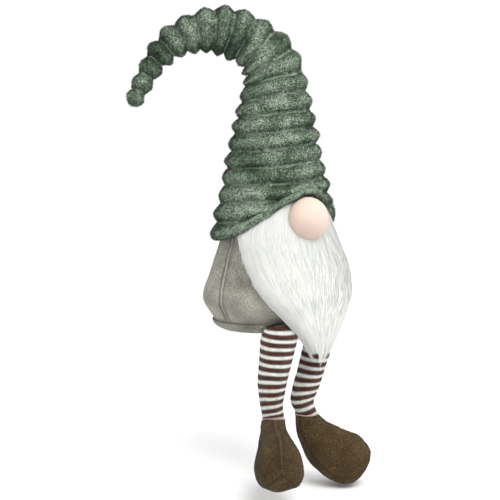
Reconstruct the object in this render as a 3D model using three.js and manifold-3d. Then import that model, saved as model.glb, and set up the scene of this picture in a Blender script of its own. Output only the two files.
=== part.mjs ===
// Edge-sitting tomte gnome: a stuffed felt figure with a wired plush hat, a fur beard, a ball nose,
// and two striped stocking legs that hang over the edge of a shelf and end in soft boots.
//
// Millimetres, +Z up. The gnome faces -Y, so its right hand side is -X. The origin is the centre of
// the flat seat face under the body. The legs hang below z = 0, in front of that face.

import * as THREE from 'three';
import { mergeVertices } from 'three/addons/utils/BufferGeometryUtils.js';
import Module from 'manifold-3d';

// ---------------------------------------------------------------- driving dimensions

const GAP = 0.3; // clearance between pieces that touch on the real toy
const FELT = 2; // felt of the body
const KNIT = 1.5; // knitted tube of the legs
const FLEECE = 2.5; // fleece of the boots with its lining
const PLUSH = 3; // quilted backing of the hat under its ribs

const BODY = {
  seatRatio: 0.83, // front-to-back size over side-to-side size at the seat
  neckRatio: 0.97, // the same under the hat, where the sack is nearly round
  lean: 0.075, // how far the body leans forward per unit of height
  seatRadius: 57, // half width of the flat seat face
  seamHeight: 12, // bottom seam, where the walls meet the base panel
  seamRadius: 77,
  // half widths of the felt wall [radius, height], from the bottom seam to the closed top
  wall: [[77, 12], [88, 36], [80, 66], [69, 98], [59, 124], [47, 150], [28, 170], [6, 177]],
};

const HAT = {
  baseHeight: 100, // height of the hat's centreline where it starts
  straight: 204, // length of the upright stretch
  bends: [{ radius: 50, angle: 45 }, { radius: 85, angle: 107 }], // the curl, as two arcs
  curlDirection: 146, // compass of the curl in plan, degrees from +X
  ribPitch: 20.8,
  firstRib: 47.5, // distance along the centreline of the first rib's crest
  ribs: 20,
  ribDepth: 6.5,
  // [distance along the centreline, crest radius]
  taper: [[0, 79], [47, 73.5], [214, 38], [250, 33], [297, 30], [380, 17], [443, 11], [460, 5]],
  tilt: 5.5, // the ribs' own lean towards the curl on the upright stretch, degrees
  extraTilt: 7, // added just before the curl starts
};
const BENDING_RIBS = [8, 12, 16]; // the ribs at which the wire is bent

const HEM = {
  height: 121, // where the plush is trimmed at the back
  frontRise: 55, // how much higher it is trimmed over the nose
  sharpness: 3.7,
  radius: 6,
  rollRadius: 71.5,
  drawIn: 0.12, // how far the roll closes in on the narrower hat per unit of rise
};
const NOSE = { centre: [0, -80, 134], radius: 26.5, flatBack: 7 };
const WIRE_RADIUS = 1.25;

const LEG = {
  hipHeight: 6,
  kneeHeight: -62,
  ankleHeight: -106,
  // half width of the tube [height, half width]
  girth: [[-106, 13.2], [-95, 12.9], [-83, 13.8], [-62, 17.2], [-44, 18.9], [-27, 20.6], [6, 21]],
  seamHalfThickness: 3, // the top is pressed flat and sewn into the bottom seam of the body
  kneeZone: 10, // half length of the stretch that folds at the knee
  ankleZone: 16, // stretch above the ankle that folds with the foot
};
// For each leg: plan positions of its centreline [height, x, y] from ankle to hip, its girth, the
// compass of its toe, and how far that toe is lifted from the droop drawn in the boot's side view.
const SIDES = [
  {
    side: 'right',
    line: [[-106, -38, -54], [-86, -40, -52], [-62, -40, -52], [10, -33, -61]],
    girth: 1,
    toeCompass: 236,
    lift: 20,
  },
  {
    side: 'left',
    line: [[-106, 16, -54], [-90, 13, -50], [-62, 22, -52.5], [10, 34, -61]],
    girth: 0.88,
    toeCompass: 320,
    lift: 0,
  },
];

// Side view of a boot as stations from its opening to its toe. Each one joins a point on the heel
// and sole line to a point on the instep line, as [forward, up] from the ankle, with a half width.
const BOOT = [
  { heel: [-14, 0], instep: [14, 0], halfWidth: 14.3 },
  { heel: [-13, -16], instep: [19, -5], halfWidth: 15.5 },
  { heel: [-9, -32], instep: [26, -11], halfWidth: 18.5 },
  { heel: [-1, -52], instep: [40, -17], halfWidth: 22.5 },
  { heel: [11, -68], instep: [53, -22], halfWidth: 26 },
  { heel: [29, -81], instep: [65, -28], halfWidth: 28.3 },
  { heel: [49, -86], instep: [77, -42], halfWidth: 25.5 },
  { heel: [70, -76], instep: [81, -56], halfWidth: 13 },
];
const WIDEST = 0.38; // the widest line of a boot lies this share of the way up from its sole

const COLOURS = {
  plush: 0x748a6c, felt: 0x8f8f85, fur: 0xeff0eb, skin: 0xf7e2d2, boot: 0x5a4a33, sole: 0x54452f,
  stocking: 0xc9c4bb, thread: 0xe6cfc6, wadding: 0xf2f2ee, steel: 0x9a9da0, sand: 0xb9a27c,
  calico: 0xded6c4,
};

// ---------------------------------------------------------------- small helpers

const wasm = await Module();
wasm.setup();

const radians = THREE.MathUtils.degToRad;
const mix = THREE.MathUtils.lerp;
const smooth = THREE.MathUtils.smoothstep;

/** Value at x of the straight-line graph through rows of [x, value]. */
function graph(rows, x) {
  const next = rows.findIndex(([at]) => at > x);
  if (next === 0) return rows[0][1];
  if (next < 0) return rows.at(-1)[1];
  const [[x0, y0], [x1, y1]] = [rows[next - 1], rows[next]];
  return mix(y0, y1, (x - x0) / (x1 - x0));
}

/** Moves every vertex of a geometry with place(vertex), and welds the seams. */
function reshape(geometry, place) {
  const position = geometry.attributes.position;
  const vertex = new THREE.Vector3();
  for (let i = 0; i < position.count; i += 1) {
    place(vertex.fromBufferAttribute(position, i));
    position.setXYZ(i, vertex.x, vertex.y, vertex.z);
  }
  geometry.deleteAttribute('normal');
  geometry.deleteAttribute('uv');
  return mergeVertices(geometry, 1e-3);
}

/** Closed rod: place(x, y, t) puts the point (x, y) of a unit disc at the share t of its length. */
function rod(sides, rows, place) {
  const cylinder = new THREE.CylinderGeometry(1, 1, 1, sides, rows);
  return reshape(cylinder, (v) => v.copy(place(v.x, -v.z, v.y + 0.5)));
}

/** Closed thick patch: place(u, v, w) with all three from 0 to 1, and w through its thickness. */
function patch(across, along, place) {
  const box = new THREE.BoxGeometry(1, 1, 1, across, along, 1);
  return reshape(box, (v) => v.copy(place(v.x + 0.5, v.y + 0.5, v.z + 0.5)));
}

function solidOf(geometry) {
  return new wasm.Manifold(new wasm.Mesh({
    numProp: 3,
    vertProperties: geometry.attributes.position.array,
    triVerts: new Uint32Array(geometry.index.array),
  }));
}

function geometryOf(solid) {
  const mesh = solid.getMesh();
  const geometry = new THREE.BufferGeometry();
  geometry.setAttribute('position', new THREE.BufferAttribute(mesh.vertProperties, 3));
  geometry.setIndex(new THREE.BufferAttribute(mesh.triVerts, 1));
  return geometry;
}

function cut(geometry, ...tools) {
  const start = solidOf(geometry);
  return geometryOf(tools.reduce((solid, tool) => solid.subtract(solidOf(tool)), start));
}

function trimmed(geometry, block) {
  return geometryOf(solidOf(geometry).intersect(solidOf(block)));
}

const gnome = new THREE.Group();

function add(name, geometry, colour, roughness = 0.95, metalness = 0) {
  const material = new THREE.MeshStandardMaterial({ color: colour, roughness, metalness });
  const mesh = new THREE.Mesh(geometry, material);
  mesh.name = name;
  gnome.add(mesh);
}

// ---------------------------------------------------------------- body

const wallCurve = new THREE.SplineCurve(BODY.wall.map(([r, z]) => new THREE.Vector2(r, z)));
const UPRIGHT = Math.PI / 2;

/** Point on an oval ring of the leaning body, inset from its felt by the given depth. */
function bodyPoint(angle, radius, height, inset = 0) {
  const x = (radius - inset) * Math.cos(angle);
  const ratio = mix(BODY.seatRatio, BODY.neckRatio, smooth(height, 20, 100));
  const y = (radius * ratio - inset) * Math.sin(angle) - BODY.lean * height;
  return new THREE.Vector3(x, y, height);
}

/** Half width and height of the wall at the share t of its length, inset along its normal. */
function wallPoint(t, inset) {
  const point = wallCurve.getPoint(t);
  const tangent = wallCurve.getTangent(t);
  return { radius: point.x - inset * tangent.y, height: point.y + inset * tangent.x };
}

/** Half of the felt sack, between the two side seams. facing is -1 for the front, 1 for the back. */
function bodyPanel(facing) {
  const seam = GAP / BODY.seamRadius;
  return patch(12, 9, (u, v, w) => {
    const angle = mix(seam, Math.PI - seam, facing > 0 ? u : 1 - u) * facing;
    const { radius, height } = wallPoint(v, FELT * (1 - w));
    return bodyPoint(angle, radius, height);
  });
}

/** Dish-shaped base: flat under the seat, rising to the bottom seam. */
function basePanel() {
  const rim = BODY.seamHeight - GAP;
  const bottom = [[0, 0], [BODY.seatRadius, 0], [70, 3.5], [BODY.seamRadius, rim]];
  const top = [[BODY.seamRadius - FELT, rim], [68.5, 3.5 + FELT], [BODY.seatRadius - 1, FELT], [0, FELT]];
  const profile = [...bottom, ...top].map(([r, z]) => new THREE.Vector2(r, z));
  const lathe = new THREE.LatheGeometry(profile, 24);
  return reshape(lathe, (v) => v.copy(bodyPoint(Math.atan2(-v.z, v.x), Math.hypot(v.x, v.z), v.y)));
}

/** Solid that fills the sack between two shares of its wall, a little clear of the felt. */
function bodyFill(from, to) {
  return rod(16, 7, (x, y, t) => {
    const { radius, height } = wallPoint(mix(from, to, t), FELT + 2);
    return bodyPoint(Math.atan2(y, x), radius * Math.hypot(x, y), height);
  });
}

add('body_front_panel', bodyPanel(-1), COLOURS.felt);
add('body_back_panel', bodyPanel(1), COLOURS.felt);
add('body_base_panel', basePanel(), COLOURS.felt);
add('body_wadding', bodyFill(0.2, 0.97), COLOURS.wadding);

const SAND = { bottom: 6, top: 40, shell: 1 };

/** Flat round bag of sand on the base panel. */
function sandBag(inset) {
  return rod(16, 5, (x, y, t) => {
    const height = mix(SAND.bottom + inset, SAND.top - inset, t);
    const bulge = Math.sqrt(Math.max(0, 1 - (2 * t - 1) ** 2));
    const radius = mix(40, 64, bulge) - inset;
    return bodyPoint(Math.atan2(y, x), radius * Math.hypot(x, y), height);
  });
}

add('weight_bag', cut(sandBag(0), sandBag(SAND.shell), fillingHole()), COLOURS.calico);
add('weight_sand', sandBag(SAND.shell + GAP), COLOURS.sand);

/** Small mouth through which the sand bag is filled. */
function fillingHole() {
  const mouth = new THREE.CylinderGeometry(4, 4, 6, 8);
  return reshape(mouth, (v) => v.set(v.x, -v.z - BODY.lean * SAND.top, SAND.top + v.y));
}

// ---------------------------------------------------------------- hat

const curlWay = new THREE.Vector3(
  Math.cos(radians(HAT.curlDirection)), Math.sin(radians(HAT.curlDirection)), 0,
);
const curlSide = new THREE.Vector3(curlWay.y, -curlWay.x, 0);
const hatFoot = new THREE.Vector3(0, -BODY.lean * HAT.baseHeight, HAT.baseHeight);
const valley = (rib) => HAT.firstRib + (rib - 0.5) * HAT.ribPitch;
const crest = (rib) => HAT.firstRib + rib * HAT.ribPitch;
const HAT_END = valley(HAT.ribs) + 4;

/** Position and heading (from upright, in the plane of the curl) of the centreline at distance s. */
function hatLine(s) {
  let across = 0;
  let up = Math.min(s, HAT.straight);
  let heading = 0;
  let left = s - up;
  for (const { radius, angle } of HAT.bends) {
    const turn = Math.min(left / radius, radians(angle));
    across += radius * (Math.cos(heading) - Math.cos(heading + turn));
    up += radius * (Math.sin(heading + turn) - Math.sin(heading));
    heading += turn;
    left -= turn * radius;
  }
  across += left * Math.sin(heading);
  up += left * Math.cos(heading);
  return { across, up, heading };
}

/** Tilt of the rib plane at distance s: the heading, plus the lean of the lower ribs. */
function ribTilt(s) {
  const lean = HAT.tilt + HAT.extraTilt * smooth(s, 140, HAT.straight);
  return hatLine(s).heading + radians(lean * (1 - smooth(s, HAT.straight, HAT.straight + 36)));
}

/** Point of the hat at distance s, at (x, y) across its section, with y towards the curl. */
function hatPoint(x, y, s) {
  const { across, up } = hatLine(s);
  const tilt = ribTilt(s);
  return hatFoot.clone()
    .addScaledVector(curlWay, across + y * Math.cos(tilt))
    .addScaledVector(curlSide, x)
    .add(new THREE.Vector3(0, 0, up - y * Math.sin(tilt)));
}

const ribDepth = (s) => Math.min(HAT.ribDepth, 0.38 * graph(HAT.taper, s));
const valleyRadius = (s) => graph(HAT.taper, s) - ribDepth(s);
const liningRadius = (s) => valleyRadius(s) - Math.min(PLUSH, 0.35 * valleyRadius(s));

/** Radius of the plush at distance s: a flat-topped rib between two valleys. */
function plushRadius(s) {
  const share = THREE.MathUtils.euclideanModulo((s - valley(0)) / HAT.ribPitch, 1);
  const nearValley = Math.min(share, 1 - share);
  return valleyRadius(s) + ribDepth(s) * smooth(nearValley, 0.02, 0.3);
}

const HAT_SIDES = 22;
const CORE_SIDES = 12;

/** Part of the hat's inside between two distances, from the centreline out to radius(s). */
function hatCore(from, to, radius, rows, sides = HAT_SIDES) {
  return rod(sides, rows, (x, y, t) => {
    const s = mix(from, to, t);
    return hatPoint(x * radius(s), y * radius(s), s);
  });
}

/** Ribbed plush tube between two distances, open at both ends. */
function hatCover(from, to) {
  const outerRows = Math.max(2, Math.round((2 * (to - from)) / HAT.ribPitch));
  const innerRows = Math.max(2, Math.round(outerRows / 2));
  const hollow = hatCore(from - 1, to + 1, liningRadius, innerRows, CORE_SIDES);
  return cut(hatCore(from, to, plushRadius, outerRows), hollow);
}

/** Height of the hat's hem above its foot at a plan angle: level behind, arched over the nose. */
function hemHeight(angle) {
  const fromFront = Math.acos(THREE.MathUtils.clamp(-Math.sin(angle), -1, 1));
  return HEM.height + HEM.frontRise * (0.5 + 0.5 * Math.cos(fromFront)) ** HEM.sharpness;
}

/** Distance of the hem's roll from the hat's axis at a plan angle. */
function rollRadius(angle) {
  return HEM.rollRadius - HEM.drawIn * (hemHeight(angle) - HEM.height);
}

/** Block under a line that runs the given distance below the hem. */
function hemBlock(below) {
  const reach = 2 * HAT.taper[0][1];
  const middle = HEM.height + HEM.frontRise / 2;
  return rod(36, 1, (x, y, t) => {
    const angle = Math.atan2(y, x);
    const rise = (hemHeight(angle) - middle) * (reach / rollRadius(angle));
    const top = middle + rise * Math.hypot(x, y) - below;
    return new THREE.Vector3(x * reach, y * reach + hatFoot.y, mix(-2 * reach, top, t));
  });
}

const ROLL_DROP = HEM.radius + 2; // the roll's centre lies this far below the trimmed plush

/** Plush edge turned up and rolled all round the hem. */
function hemRoll() {
  const torus = new THREE.TorusGeometry(1, 0.5, 6, 36);
  return reshape(torus, (v) => {
    const angle = Math.atan2(v.y, v.x);
    const out = (Math.hypot(v.x, v.y) - 1) * 2;
    const radius = rollRadius(angle) + out * HEM.radius;
    const height = hemHeight(angle) - ROLL_DROP + v.z * 2 * HEM.radius;
    v.set(radius * Math.cos(angle), radius * Math.sin(angle) + hatFoot.y, height);
  });
}

const crownEnd = valley(BENDING_RIBS[0]) - 1;
const crownRib = HAT.firstRib - 2 * HAT.ribPitch;
add('hat_crown_cover', cut(hatCover(crownRib, crownEnd), hemBlock(0)), COLOURS.plush);
add('hat_hem_roll', hemRoll(), COLOURS.plush);

const CURLS = ['lower', 'middle', 'tip'];
CURLS.forEach((name, i) => {
  const rib = BENDING_RIBS[i];
  const last = i + 1 === CURLS.length;
  const start = valley(rib + 1) + 1;
  const end = last ? HAT_END : valley(BENDING_RIBS[i + 1]) - 1;
  const bend = [valley(rib), valley(rib + 1)];
  add(`hat_bend_rib_${i + 1}`, hatCover(...bend), COLOURS.plush);
  add(`hat_${name}_cover`, last ? tipCover(start) : hatCover(start, end), COLOURS.plush);
});

/** Last stretch of the plush, closed at its tip. */
function tipCover(start) {
  const rows = Math.round((2 * (HAT_END - start)) / HAT.ribPitch);
  const outside = hatCore(start, HAT_END, plushRadius, rows);
  return cut(outside, hatCore(start - 1, valley(HAT.ribs), liningRadius, 4, CORE_SIDES));
}

/** Wadding between two distances, with a bore left for the wire. */
function hatWadding(from, to, rows = 3) {
  const fill = hatCore(from, to, (s) => 0.97 * liningRadius(s) - GAP, rows, CORE_SIDES);
  return cut(fill, hatCore(from - 1, to + 1, () => 2 * WIRE_RADIUS, rows, 6));
}

const wireFoot = 96;
const waddingFoot = 90;
add('hat_crown_wadding', hatWadding(waddingFoot, crownEnd, 4), COLOURS.wadding);
CURLS.forEach((name, i) => {
  const last = i + 1 === CURLS.length;
  const rib = BENDING_RIBS[i];
  const end = last ? valley(HAT.ribs) - 4 : valley(BENDING_RIBS[i + 1]) - 1;
  add(`hat_bend_wadding_${i + 1}`, hatWadding(valley(rib), valley(rib + 1), 2), COLOURS.wadding);
  add(`hat_${name}_wadding`, hatWadding(valley(rib + 1) + 1, end), COLOURS.wadding);
});

/** Stretch of the steel wire that holds the curl, along the centreline. */
function wire(from, to) {
  const rows = Math.max(2, Math.round((to - from) / 14));
  return rod(6, rows, (x, y, t) => hatPoint(x * WIRE_RADIUS, y * WIRE_RADIUS, mix(from, to, t)));
}

const WIRE_GAP = 1.5;
const wireStops = [wireFoot, ...BENDING_RIBS.map(crest), HAT_END - 16];
['crown', ...CURLS].forEach((name, i) => {
  const from = wireStops[i] + (i ? WIRE_GAP : 0);
  const to = wireStops[i + 1] - (i < CURLS.length ? WIRE_GAP : 0);
  add(`hat_${name}_wire`, wire(from, to), COLOURS.steel, 0.4, 0.9);
});

// ---------------------------------------------------------------- nose and beard

const noseCentre = new THREE.Vector3(...NOSE.centre);

/** Ball with the back flattened where it is sewn on. */
function noseBall(inset, sides = 16) {
  const radius = NOSE.radius - inset;
  const ball = new THREE.SphereGeometry(radius, sides, Math.round(0.7 * sides));
  const back = NOSE.flatBack - inset;
  return reshape(ball, (v) => v.set(v.x, Math.min(v.z, back), -v.y).add(noseCentre));
}

/** Mouth in the back of the nose cover, drawn up by the gathering thread. */
function noseMouth() {
  const mouth = new THREE.CylinderGeometry(7, 7, 10, 12);
  return reshape(mouth, (v) => v.set(v.x, NOSE.flatBack + v.y, v.z).add(noseCentre));
}

/** Ring of thread that gathers the nose cover at the back. */
function noseThread() {
  const ring = new THREE.TorusGeometry(6, 0.6, 4, 14);
  return reshape(ring, (v) => v.set(v.x, NOSE.flatBack - FELT / 2 + v.z, -v.y).add(noseCentre));
}

add('nose_cover', cut(noseBall(0, 22), noseBall(1.5), noseMouth()), COLOURS.skin, 0.85);
add('nose_wadding', noseBall(1.5 + GAP + 2, 12), COLOURS.wadding);

const BEARD = {
  backing: 1.5,
  // [height, reach of the fur round the body in degrees from the front], on each hand of the gnome
  rightSpread: [[-40, 1], [-34, 3], [-12, 9], [17, 22], [54, 42], [84, 57], [119, 73], [150, 60]],
  leftSpread: [[-40, 1], [-34, 6], [-17, 14], [-1, 27], [20, 48], [50, 68], [85, 74], [119, 73], [150, 60]],
  // [height, thickness of the fur]
  depth: [[-40, 6], [-20, 11], [10, 16], [50, 20], [80, 19], [110, 14], [150, 5]],
  tip: -38,
  seam: 24,
};

/** Distance from the body's axis to the felt at a height, or to the legs below the seam. */
function beardGround(height) {
  const wall = wallCurve.getPoints(40).map((p) => [p.y, p.x]);
  return height > 40 ? graph(wall, height) : mix(98, 90, smooth(height, BEARD.tip, 30));
}

/** Thick patch of beard between two heights and two depths over the felt. */
function beardPatch(bottom, top, inner, outer, rows) {
  return patch(10, rows, (u, v, w) => {
    const height = mix(bottom, top, v);
    const spread = u < 0.5 ? BEARD.rightSpread : BEARD.leftSpread;
    const angle = -UPRIGHT + (2 * u - 1) * radians(graph(spread, height));
    const edge = 1 - (2 * u - 1) ** 6;
    const reach = beardGround(height) + mix(inner, Math.max(inner + 2, outer(height) * edge), w);
    const lift = reach - beardGround(height);
    return bodyPoint(angle, beardGround(height), height, -lift);
  });
}

const noseRoom = noseBall(-GAP, 22);
const pile = (height) => graph(BEARD.depth, height);
const backing = beardPatch(BEARD.seam, 148, 5 * GAP, () => 5 * GAP + BEARD.backing, 6);
const pileInner = 11 * GAP + BEARD.backing;
add('beard_backing', cut(backing, noseRoom), COLOURS.calico);
const fur = trimmed(beardPatch(BEARD.tip, 146, pileInner, pile, 10), hemBlock(2 * ROLL_DROP));
add('beard_pile', cut(fur, noseRoom), COLOURS.fur);

// ---------------------------------------------------------------- legs

/** Centreline point of a leg at a height between hip and ankle. */
function legCentre({ line }, height) {
  const [x, y] = [1, 2].map((column) => graph(line.map((row) => [row[0], row[column]]), height));
  return new THREE.Vector3(x, y, height);
}

/** Half width and half thickness of a leg: sewn flat at the hip, round from the thigh down. */
function legSection(leg, height) {
  const girth = leg.girth * graph(LEG.girth, height);
  const round = Math.sqrt(smooth(LEG.hipHeight - height, 0, 46));
  return [girth, mix(LEG.seamHalfThickness, girth, round)];
}

const toeWay = ({ toeCompass }) => new THREE.Vector3(
  Math.cos(radians(toeCompass)), Math.sin(radians(toeCompass)), 0,
);

/** Slope of a leg's cross-section at a height: level, but parallel to the boot's rim at the ankle. */
function rimSlope(leg, height) {
  const nearness = 1 - smooth(height, LEG.ankleHeight, LEG.ankleHeight + LEG.ankleZone);
  return nearness * Math.tan(radians(leg.lift));
}

/** Solid stretch of a leg between two heights, inset from the knit. */
function legCore(leg, top, bottom, inset, rows) {
  return rod(14, rows, (x, y, t) => {
    const height = mix(bottom, top, t);
    const [wide, thick] = legSection(leg, height);
    const offset = new THREE.Vector3((wide - inset) * x, (thick - inset) * y, 0);
    offset.z = rimSlope(leg, height) * offset.dot(toeWay(leg));
    return legCentre(leg, height).add(offset);
  });
}

function stocking(leg, top, bottom) {
  const rows = Math.max(2, Math.round((top - bottom) / 8));
  return cut(legCore(leg, top, bottom, 0, rows), legCore(leg, top + 1, bottom - 1, KNIT, rows));
}

/** Top of a stocking: the tube is pressed flat and sewn shut at the hip seam. */
function thighStocking(leg, top, bottom) {
  return cut(legCore(leg, top, bottom, 0, 6), legCore(leg, top - 6, bottom - 1, KNIT, 6));
}

function addLeg(leg) {
  const { side } = leg;
  const thighEnd = LEG.kneeHeight + LEG.kneeZone;
  const shinStart = LEG.kneeHeight - LEG.kneeZone;
  const shinEnd = LEG.ankleHeight + LEG.ankleZone;
  const top = LEG.hipHeight - 3;
  add(`${side}_thigh_stocking`, thighStocking(leg, top, thighEnd), COLOURS.stocking);
  add(`${side}_knee_stocking`, stocking(leg, thighEnd - GAP, shinStart + GAP), COLOURS.stocking);
  add(`${side}_shin_stocking`, stocking(leg, shinStart, shinEnd), COLOURS.stocking);
  add(`${side}_ankle_stocking`, stocking(leg, shinEnd - GAP, LEG.ankleHeight + 2 * GAP), COLOURS.stocking);
  const inside = KNIT + GAP;
  add(`${side}_thigh_wadding`, legCore(leg, top - 12, thighEnd + 2, inside, 4), COLOURS.wadding);
  add(`${side}_shin_wadding`, legCore(leg, shinStart - 1, shinEnd + 1, inside + 1, 3), COLOURS.wadding);
}

// ---------------------------------------------------------------- boots

const BOOT_ROWS = 10;
const SOLE_HALF_ANGLE = radians(62);
const bootCurves = ['heel', 'instep'].map((line) => new THREE.CatmullRomCurve3(
  BOOT.map((station) => new THREE.Vector3(0, station[line][0], station[line][1])),
));
const bootWidths = BOOT.map(({ halfWidth }, i) => [i / (BOOT.length - 1), halfWidth]);

/** Point of a boot: t from opening to toe, angle round the section from the instep, and an inset. */
function bootPoint(leg, t, angle, inset) {
  const [heel, instep] = bootCurves.map((curve) => curve.getPoint(t));
  const middle = heel.clone().lerp(instep, WIDEST);
  const half = (Math.cos(angle) > 0 ? instep : heel).clone().sub(middle);
  const share = Math.abs(Math.cos(angle)) * (1 - inset / half.length());
  const point = middle.addScaledVector(half, share);
  point.applyAxisAngle(new THREE.Vector3(1, 0, 0), radians(leg.lift));
  const across = (graph(bootWidths, t) - inset) * Math.sin(angle);
  const toe = toeWay(leg);
  const aside = new THREE.Vector3(-toe.y, toe.x, 0);
  return legCentre(leg, LEG.ankleHeight)
    .add(new THREE.Vector3(0, 0, point.z))
    .addScaledVector(toe, point.y)
    .addScaledVector(aside, across);
}

/** Thick panel of a boot between two angles round its section, over a share of its length. */
function bootPanel(leg, fromAngle, toAngle, tFrom, tTo, across, thickness = FLEECE) {
  return patch(across, BOOT_ROWS, (u, v, w) => {
    const t = mix(tTo, tFrom, v);
    const angle = mix(fromAngle, toAngle, u);
    return bootPoint(leg, t, angle, thickness * (1 - w));
  });
}

function addBoot(leg) {
  const { side } = leg;
  const seam = 0.02;
  const soleEdge = Math.PI - SOLE_HALF_ANGLE;
  const wings = side === 'right' ? ['inner', 'outer'] : ['outer', 'inner'];
  const upper = [[seam, soleEdge - seam], [-soleEdge + seam, -seam]];
  upper.forEach(([from, to], i) => {
    add(`${side}_boot_${wings[i]}_panel`, bootPanel(leg, from, to, 0, 1, 5), COLOURS.boot);
  });
  const sole = bootPanel(leg, soleEdge, 2 * Math.PI - soleEdge, 0, 1, 5);
  add(`${side}_boot_sole`, sole, COLOURS.sole);
  const filling = rod(12, 6, (x, y, t) => {
    const share = mix(0.93, 0.14, t);
    const rim = bootPoint(leg, share, Math.atan2(y, x), FLEECE + 1.4);
    const axis = bootPoint(leg, share, 0, 0).lerp(bootPoint(leg, share, Math.PI, 0), 1 - WIDEST);
    return axis.lerp(rim, Math.hypot(x, y));
  });
  add(`${side}_boot_wadding`, filling, COLOURS.wadding);
}

/** Loop of thread round the top of a boot where the stocking is sewn in. */
function ankleThread(leg) {
  const ring = new THREE.TorusGeometry(14.6, 0.9, 5, 18);
  const foot = legCentre(leg, LEG.ankleHeight + 3);
  return reshape(ring, (v) => {
    v.z += rimSlope(leg, LEG.ankleHeight) * v.dot(toeWay(leg));
    v.add(foot);
  });
}

for (const leg of SIDES) {
  addLeg(leg);
  addBoot(leg);
  add(`${leg.side}_ankle_thread`, ankleThread(leg), COLOURS.thread);
}
add('nose_thread', noseThread(), COLOURS.thread);

export default gnome;
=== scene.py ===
# %% [markdown]
# # A tomte gnome that sits on a shelf edge
#
# The real gnome is sewn and stuffed: a grey felt sack, a ribbed plush hat with a bent wire in it, a
# fur beard, a jersey ball nose, and two striped stocking legs that end in fleece boots. This lesson
# builds each of those as the thing it is, around a plain CAD frame of the same gnome. The frame holds
# the bodies that move, the joints between them, and the parts inside that no one sees.
#
# Cloth on a stuffed toy is a smooth form with small, regular departures from it: seams pull it in,
# ribs puff it out, pile hides its edges. So each piece starts from a formula for its form, is sampled
# as a fine grid of points, and is then moved in and out along its normals.

# %% Load the frame
import math

import bpy
import numpy as np
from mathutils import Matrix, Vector


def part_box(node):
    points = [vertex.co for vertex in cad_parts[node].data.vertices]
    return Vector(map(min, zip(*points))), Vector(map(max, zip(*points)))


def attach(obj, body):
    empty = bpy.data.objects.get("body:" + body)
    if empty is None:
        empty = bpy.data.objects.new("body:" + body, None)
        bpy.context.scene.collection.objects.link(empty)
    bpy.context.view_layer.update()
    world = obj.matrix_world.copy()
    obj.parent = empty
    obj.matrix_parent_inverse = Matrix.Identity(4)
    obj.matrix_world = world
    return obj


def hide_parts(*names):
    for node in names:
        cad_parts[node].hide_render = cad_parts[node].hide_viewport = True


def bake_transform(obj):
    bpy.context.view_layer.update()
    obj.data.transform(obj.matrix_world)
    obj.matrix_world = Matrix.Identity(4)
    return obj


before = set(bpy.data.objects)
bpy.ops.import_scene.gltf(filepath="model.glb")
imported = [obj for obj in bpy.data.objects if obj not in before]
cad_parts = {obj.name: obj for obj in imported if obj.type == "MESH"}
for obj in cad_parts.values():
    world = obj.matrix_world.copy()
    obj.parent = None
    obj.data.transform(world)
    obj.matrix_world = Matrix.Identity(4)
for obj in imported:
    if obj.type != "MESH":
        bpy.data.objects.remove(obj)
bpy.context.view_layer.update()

# %% [markdown]
# ## Camera
#
# The camera comes first, so that everything after it can be judged from the right side. It stands
# well round to the gnome's right, at the height of the hat's lower ribs, and looks slightly down. A
# long lens keeps the perspective gentle, so that the boots don't look larger than the hat.

# %% Camera
CAMERA_AZIMUTH = math.radians(-39.73)
CAMERA_DISTANCE = 1.4
CAMERA_HEIGHT = 0.2262
CAMERA_TURN = math.radians(-1.0)
CAMERA_PITCH = math.radians(5.36)
LENS = 81.07

scene = bpy.context.scene
camera_data = bpy.data.cameras.new("camera")
camera_data.lens = LENS
camera_data.sensor_width = 36
camera = bpy.data.objects.new("camera", camera_data)
camera.location = (
    math.sin(CAMERA_AZIMUTH) * CAMERA_DISTANCE,
    -math.cos(CAMERA_AZIMUTH) * CAMERA_DISTANCE,
    CAMERA_HEIGHT,
)
camera.rotation_euler = (math.pi / 2 - CAMERA_PITCH, 0, CAMERA_AZIMUTH - CAMERA_TURN)
scene.collection.objects.link(camera)
scene.camera = camera
print("camera stands at", [round(value, 3) for value in camera.location])

# %% [markdown]
# ## Small tools
#
# Everything is computed on whole arrays with numpy, which is fast enough for grids of tens of
# thousands of points. Lengths are in millimetres while a form is worked out, because that is how
# cloth is measured, and are turned into metres only when the mesh is made.

# %% Curves and noise
MM = 0.001
UP = np.array([0, 0, 1])


def graph(rows, x):
    """Value at x of the straight-line graph through rows of (x, value)."""
    rows = np.array(rows, float)
    return np.interp(x, rows[:, 0], rows[:, 1])


def soft_graph(rows, x, reach):
    """The same graph with its corners rounded over the given reach."""
    offsets = np.linspace(-reach, reach, 9)
    return np.mean([graph(rows, np.asarray(x) + offset) for offset in offsets], axis=0)


def smooth(x, start, end):
    """0 before start, 1 after end, and an even curve between them."""
    t = np.clip((np.asarray(x, float) - start) / (end - start), 0, 1)
    return t * t * (3 - 2 * t)


def spline(points, t):
    """Points at the shares t along the Catmull-Rom curve through the given points."""
    points = np.array(points, float)
    extended = np.vstack([2 * points[0] - points[1], points, 2 * points[-1] - points[-2]])
    place = np.clip(np.asarray(t, float), 0, 1) * (len(points) - 1)
    i = np.minimum(place.astype(int), len(points) - 2)
    f = (place - i)[..., None]
    p0, p1, p2, p3 = extended[i], extended[i + 1], extended[i + 2], extended[i + 3]
    cubic = (3 * p1 - p0 - 3 * p2 + p3) * f**3
    return 0.5 * (2 * p1 + (p2 - p0) * f + (2 * p0 - 5 * p1 + 4 * p2 - p3) * f**2 + cubic)


def ripple(places, size, seed, waves=9):
    """Smooth noise around 0: a sum of sine waves about size long, in random directions."""
    random = np.random.default_rng(seed)
    total = np.zeros(places.shape[:-1])
    for _ in range(waves):
        direction = random.normal(size=places.shape[-1])
        direction /= np.linalg.norm(direction)
        length = size * random.uniform(0.7, 1.6)
        total += np.sin(2 * np.pi * (places @ direction) / length + random.uniform(0, 6.28))
    return total / math.sqrt(waves)


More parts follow.
